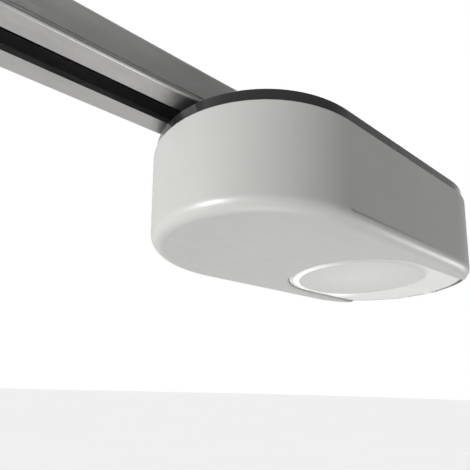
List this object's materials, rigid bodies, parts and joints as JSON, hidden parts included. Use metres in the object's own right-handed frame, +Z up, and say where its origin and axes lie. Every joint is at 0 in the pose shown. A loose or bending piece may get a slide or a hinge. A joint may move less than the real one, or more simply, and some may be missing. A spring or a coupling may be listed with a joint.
{
  "type": "garage door opener",
  "caption": "Ceiling garage door opener: rounded motor head with lamp, C-section belt rail, sliding carriage with release lever and hinged door arm.",
  "frame": {"origin": "centre of the head bracket's four ceiling holes, on the ceiling plane and on the drive sprocket's axis", "axes": "+Z up; X along the rail with the door at -X and the motor head's far end at +X"},
  "size_m": [3.1108, 0.18, 0.446],
  "materials": {
    "cover_plastic": "fine moulded texture, satin",
    "plate_plastic": "dark moulded plastic, satin",
    "lens_acrylic": "opal white translucent acrylic",
    "galvanised_steel": "roll-formed galvanised sheet",
    "zinc_plate": "bright zinc plated",
    "shaft_steel": "ground steel",
    "die_cast": "as-cast aluminium alloy",
    "motor_steel": "dark passivated steel can",
    "magnet_ferrite": "sintered ferrite",
    "lamination": "stacked silicon steel",
    "copper_winding": "enamelled copper wire under tape",
    "circuit_board": "solder-masked glass epoxy",
    "relay_plastic": "moulded relay case",
    "capacitor_sleeve": "shrink sleeve",
    "terminal_plastic": "moulded terminal block",
    "black_plastic": "glass-filled nylon",
    "gear_nylon": "natural acetal",
    "belt_rubber": "neoprene toothed belt",
    "spring_steel": "oil-tempered wire",
    "led_phosphor": "phosphor-coated emitter",
    "release_red": "red moulded plastic"
  },
  "bodies": {
    "opener": {"base_plate": "plate_plastic", "mains_inlet": "black_plastic", "gearbox_housing": "die_cast", "gearbox_lid": "die_cast", "gearbox_screws": "zinc_plate", "bearings": "shaft_steel", "motor_can": "motor_steel", "motor_magnets": "magnet_ferrite", "motor_end_bell": "black_plastic", "transformer_core": "lamination", "transformer_coil": "copper_winding", "transformer_screws": "zinc_plate", "control_board": "circuit_board", "board_screws": "zinc_plate", "relays": "relay_plastic", "capacitors": "capacitor_sleeve", "terminal_blocks": "terminal_plastic", "lamp_bracket": "zinc_plate", "lamp_board": "circuit_board", "lamp_leds": "led_phosphor", "lamp_screws": "zinc_plate", "rail_head_section": "galvanised_steel", "rail_door_section": "galvanised_steel", "rail_coupler": "galvanised_steel", "rail_end_cap": "black_plastic", "head_bracket": "zinc_plate", "bracket_screws": "zinc_plate", "rail_hangers": "zinc_plate", "drive_belt": "belt_rubber", "idler_fork": "zinc_plate", "idler_axle": "shaft_steel", "tension_rod": "zinc_plate", "tension_spring": "spring_steel", "tension_nut": "zinc_plate", "rail_end_fitting": "zinc_plate"},
    "cover": {"cover": "cover_plastic", "cover_screws": "zinc_plate", "lens_hinge_pins": "shaft_steel"},
    "lens": {"lamp_lens": "lens_acrylic"},
    "output": {"worm_wheel": "gear_nylon", "output_shaft": "shaft_steel", "drive_sprocket": "shaft_steel"},
    "rotor": {"rotor_shaft": "shaft_steel", "rotor_core": "lamination"},
    "idler": {"idler_pulley": "black_plastic"},
    "learn_key": {"learn_button": "black_plastic"},
    "test_key": {"test_button": "black_plastic"},
    "carriage": {"carriage_slider": "black_plastic", "belt_clamp": "zinc_plate", "carriage_body": "black_plastic", "carriage_pins": "zinc_plate"},
    "release": {"release_lever": "release_red"},
    "latch": {"latch_pin": "shaft_steel"},
    "arm": {"door_arm_upper": "galvanised_steel", "door_arm_lower": "galvanised_steel", "arm_bolts": "zinc_plate"},
    "door_plate": {"door_bracket": "zinc_plate", "door_bracket_pin": "zinc_plate"},
    "lintel": {"lintel_bracket": "zinc_plate", "lintel_pin": "zinc_plate"}
  },
  "joints": [
    {"name": "carriage_slide", "type": "slide", "parent": "opener", "child": "carriage", "axis": [1, 0, 0], "range_m": [0, 2.32]},
    {"name": "output_spin", "type": "hinge", "parent": "opener", "child": "output", "pos_m": [0, 0, -0.0157], "axis": [0, 0, 1], "continuous": true},
    {"name": "idler_spin", "type": "hinge", "parent": "opener", "child": "idler", "pos_m": [-2.78, 0, -0.0157], "axis": [0, 0, 1], "continuous": true},
    {"name": "rotor_spin", "type": "hinge", "parent": "opener", "child": "rotor", "pos_m": [0.08, 0.0305, -0.066], "axis": [1, 0, 0], "continuous": true},
    {"name": "cover_drop", "type": "slide", "parent": "opener", "child": "cover", "axis": [0, 0, -1], "range_m": [0, 0.095]},
    {"name": "lens_open", "type": "hinge", "parent": "cover", "child": "lens", "pos_m": [0.1676, 0, -0.1124], "axis": [0, -1, 0], "range_deg": [0, 70]},
    {"name": "learn_press", "type": "slide", "parent": "opener", "child": "learn_key", "axis": [0, 0, 1], "range_m": [0, 0.0006], "stiffness_N_per_m": 400, "springref_m": -0.0005},
    {"name": "test_press", "type": "slide", "parent": "opener", "child": "test_key", "axis": [0, 0, 1], "range_m": [0, 0.0006], "stiffness_N_per_m": 400, "springref_m": -0.0005},
    {"name": "release_pull", "type": "hinge", "parent": "carriage", "child": "release", "pos_m": [-2.546, 0, -0.05], "axis": [0, 1, 0], "range_deg": [0, 50], "stiffness_Nm_per_rad": 0.03, "springref_deg": -34.38},
    {"name": "latch_drop", "type": "slide", "parent": "carriage", "child": "latch", "axis": [0, 0, -1], "range_m": [0, 0.00701]},
    {"name": "arm_swing", "type": "hinge", "parent": "carriage", "child": "arm", "pos_m": [-2.59, 0, -0.054], "axis": [0, 1, 0], "range_deg": [-20, 80]},
    {"name": "door_plate_swing", "type": "hinge", "parent": "arm", "child": "door_plate", "pos_m": [-2.59, 0.0045, -0.384], "axis": [0, 1, 0], "range_deg": [-80, 30]},
    {"name": "lintel_tilt", "type": "hinge", "parent": "opener", "child": "lintel", "pos_m": [-2.905, 0, -0.0157], "axis": [0, 1, 0], "range_deg": [-60, 60]}
  ],
  "couplings": [
    {"joint": "output_spin", "follows": "carriage_slide", "rad_per_m": -69.813},
    {"joint": "idler_spin", "follows": "carriage_slide", "rad_per_m": -69.813},
    {"joint": "rotor_spin", "follows": "carriage_slide", "rad_per_m": -1047.2},
    {"joint": "latch_drop", "follows": "release_pull", "m_per_rad": 0.0080214}
  ]
}
